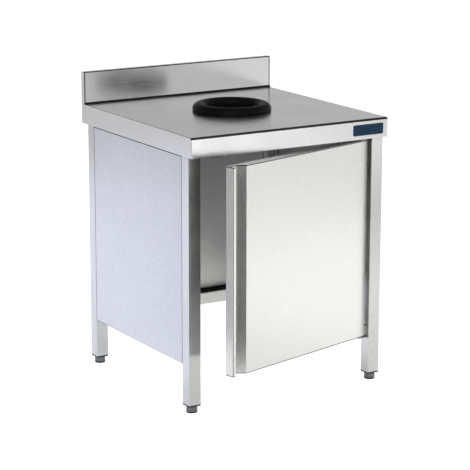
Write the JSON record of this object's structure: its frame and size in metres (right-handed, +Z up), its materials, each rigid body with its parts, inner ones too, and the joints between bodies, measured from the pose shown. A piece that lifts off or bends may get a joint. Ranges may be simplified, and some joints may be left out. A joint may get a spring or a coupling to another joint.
{
  "type": "work table with waste chute",
  "caption": "Stainless steel work table with a splashback, a rubber-ringed waste chute in its top, closed sides, one hinged door with a finger pull, and screw feet.",
  "frame": {"origin": "on the floor, in the middle of the space that the table takes with its door standing 15 degrees open", "axes": "+X to the table's right, +Y to its back, +Z up"},
  "size_m": [0.7, 0.8198, 0.954],
  "materials": {
    "steel_top": "fine brushed stainless steel, semi-mirror",
    "steel_panel": "fine brushed stainless steel, satin",
    "steel_frame": "fine brushed stainless steel tube, satin",
    "steel_door": "fine brushed stainless steel, pale and satin",
    "steel_foot": "turned steel, dull",
    "steel_zinc": "zinc-plated steel",
    "rubber_black": "smooth black rubber with a soft sheen",
    "plastic_black": "moulded black plastic",
    "nylon_natural": "natural nylon",
    "badge_navy": "navy enamel, blank",
    "core_board": "honeycomb board"
  },
  "bodies": {
    "cabinet": {"worktop_sheet": "steel_top", "splash_cap_left": "steel_top", "splash_cap_right": "steel_top", "omega_front": "steel_zinc", "omega_rear": "steel_zinc", "worktop_nuts": "steel_zinc", "worktop_bolts": "steel_zinc", "chute_collar": "steel_frame", "chute_ring": "rubber_black", "badge_plate": "badge_navy", "leg_front_left": "steel_frame", "leg_front_right": "steel_frame", "leg_rear_left": "steel_frame", "leg_rear_right": "steel_frame", "rail_front": "steel_frame", "rail_rear": "steel_frame", "rail_left": "steel_frame", "rail_right": "steel_frame", "plug_front_left": "plastic_black", "plug_front_right": "plastic_black", "plug_rear_left": "plastic_black", "plug_rear_right": "plastic_black", "side_panel_left": "steel_panel", "side_panel_right": "steel_panel", "back_panel": "steel_panel", "panel_rivets": "steel_zinc", "hinge_bracket_top": "steel_frame", "hinge_bracket_bottom": "steel_frame", "hinge_pin_top": "steel_frame", "hinge_pin_bottom": "steel_frame", "bracket_screws": "steel_zinc", "catch_bracket": "steel_frame", "catch_magnet": "plastic_black", "catch_screws": "steel_zinc"},
    "door": {"door_outer_skin": "steel_door", "door_pull_edge": "steel_door", "door_inner_skin": "steel_door", "door_core": "core_board", "pivot_block_top": "steel_zinc", "pivot_block_bottom": "steel_zinc", "bush_top": "nylon_natural", "bush_bottom": "nylon_natural", "strike_plate": "steel_zinc"},
    "foot_pad_front_left": {"foot_pad_front_left": "plastic_black"},
    "foot_screw_front_left": {"foot_screw_front_left": "steel_foot"},
    "foot_pad_front_right": {"foot_pad_front_right": "plastic_black"},
    "foot_screw_front_right": {"foot_screw_front_right": "steel_foot"},
    "foot_pad_rear_left": {"foot_pad_rear_left": "plastic_black"},
    "foot_screw_rear_left": {"foot_screw_rear_left": "steel_foot"},
    "foot_pad_rear_right": {"foot_pad_rear_right": "plastic_black"},
    "foot_screw_rear_right": {"foot_screw_rear_right": "steel_foot"}
  },
  "joints": [
    {"name": "door_hinge", "type": "hinge", "parent": "cabinet", "child": "door", "pos_m": [0.287, -0.24782, 0.46], "axis": [0, 0, 1], "range_deg": [-15, 95]},
    {"name": "foot_travel_front_left", "type": "slide", "parent": "cabinet", "child": "foot_pad_front_left", "axis": [0, 0, -1], "range_m": [0, 0.025]},
    {"name": "foot_turn_front_left", "type": "hinge", "parent": "foot_pad_front_left", "child": "foot_screw_front_left", "pos_m": [-0.328, -0.24782, 0.012], "axis": [0, 0, -1], "range_deg": [0, 6000]},
    {"name": "foot_travel_front_right", "type": "slide", "parent": "cabinet", "child": "foot_pad_front_right", "axis": [0, 0, -1], "range_m": [0, 0.025]},
    {"name": "foot_turn_front_right", "type": "hinge", "parent": "foot_pad_front_right", "child": "foot_screw_front_right", "pos_m": [0.328, -0.24782, 0.012], "axis": [0, 0, -1], "range_deg": [0, 6000]},
    {"name": "foot_travel_rear_left", "type": "slide", "parent": "cabinet", "child": "foot_pad_rear_left", "axis": [0, 0, -1], "range_m": [0, 0.025]},
    {"name": "foot_turn_rear_left", "type": "hinge", "parent": "foot_pad_rear_left", "child": "foot_screw_rear_left", "pos_m": [-0.328, 0.35018, 0.012], "axis": [0, 0, -1], "range_deg": [0, 6000]},
    {"name": "foot_travel_rear_right", "type": "slide", "parent": "cabinet", "child": "foot_pad_rear_right", "axis": [0, 0, -1], "range_m": [0, 0.025]},
    {"name": "foot_turn_rear_right", "type": "hinge", "parent": "foot_pad_rear_right", "child": "foot_screw_rear_right", "pos_m": [0.328, 0.35018, 0.012], "axis": [0, 0, -1], "range_deg": [0, 6000]}
  ],
  "couplings": [
    {"joint": "foot_turn_front_left", "follows": "foot_travel_front_left", "rad_per_m": 4188.8},
    {"joint": "foot_turn_front_right", "follows": "foot_travel_front_right", "rad_per_m": 4188.8},
    {"joint": "foot_turn_rear_left", "follows": "foot_travel_rear_left", "rad_per_m": 4188.8},
    {"joint": "foot_turn_rear_right", "follows": "foot_travel_rear_right", "rad_per_m": 4188.8}
  ]
}
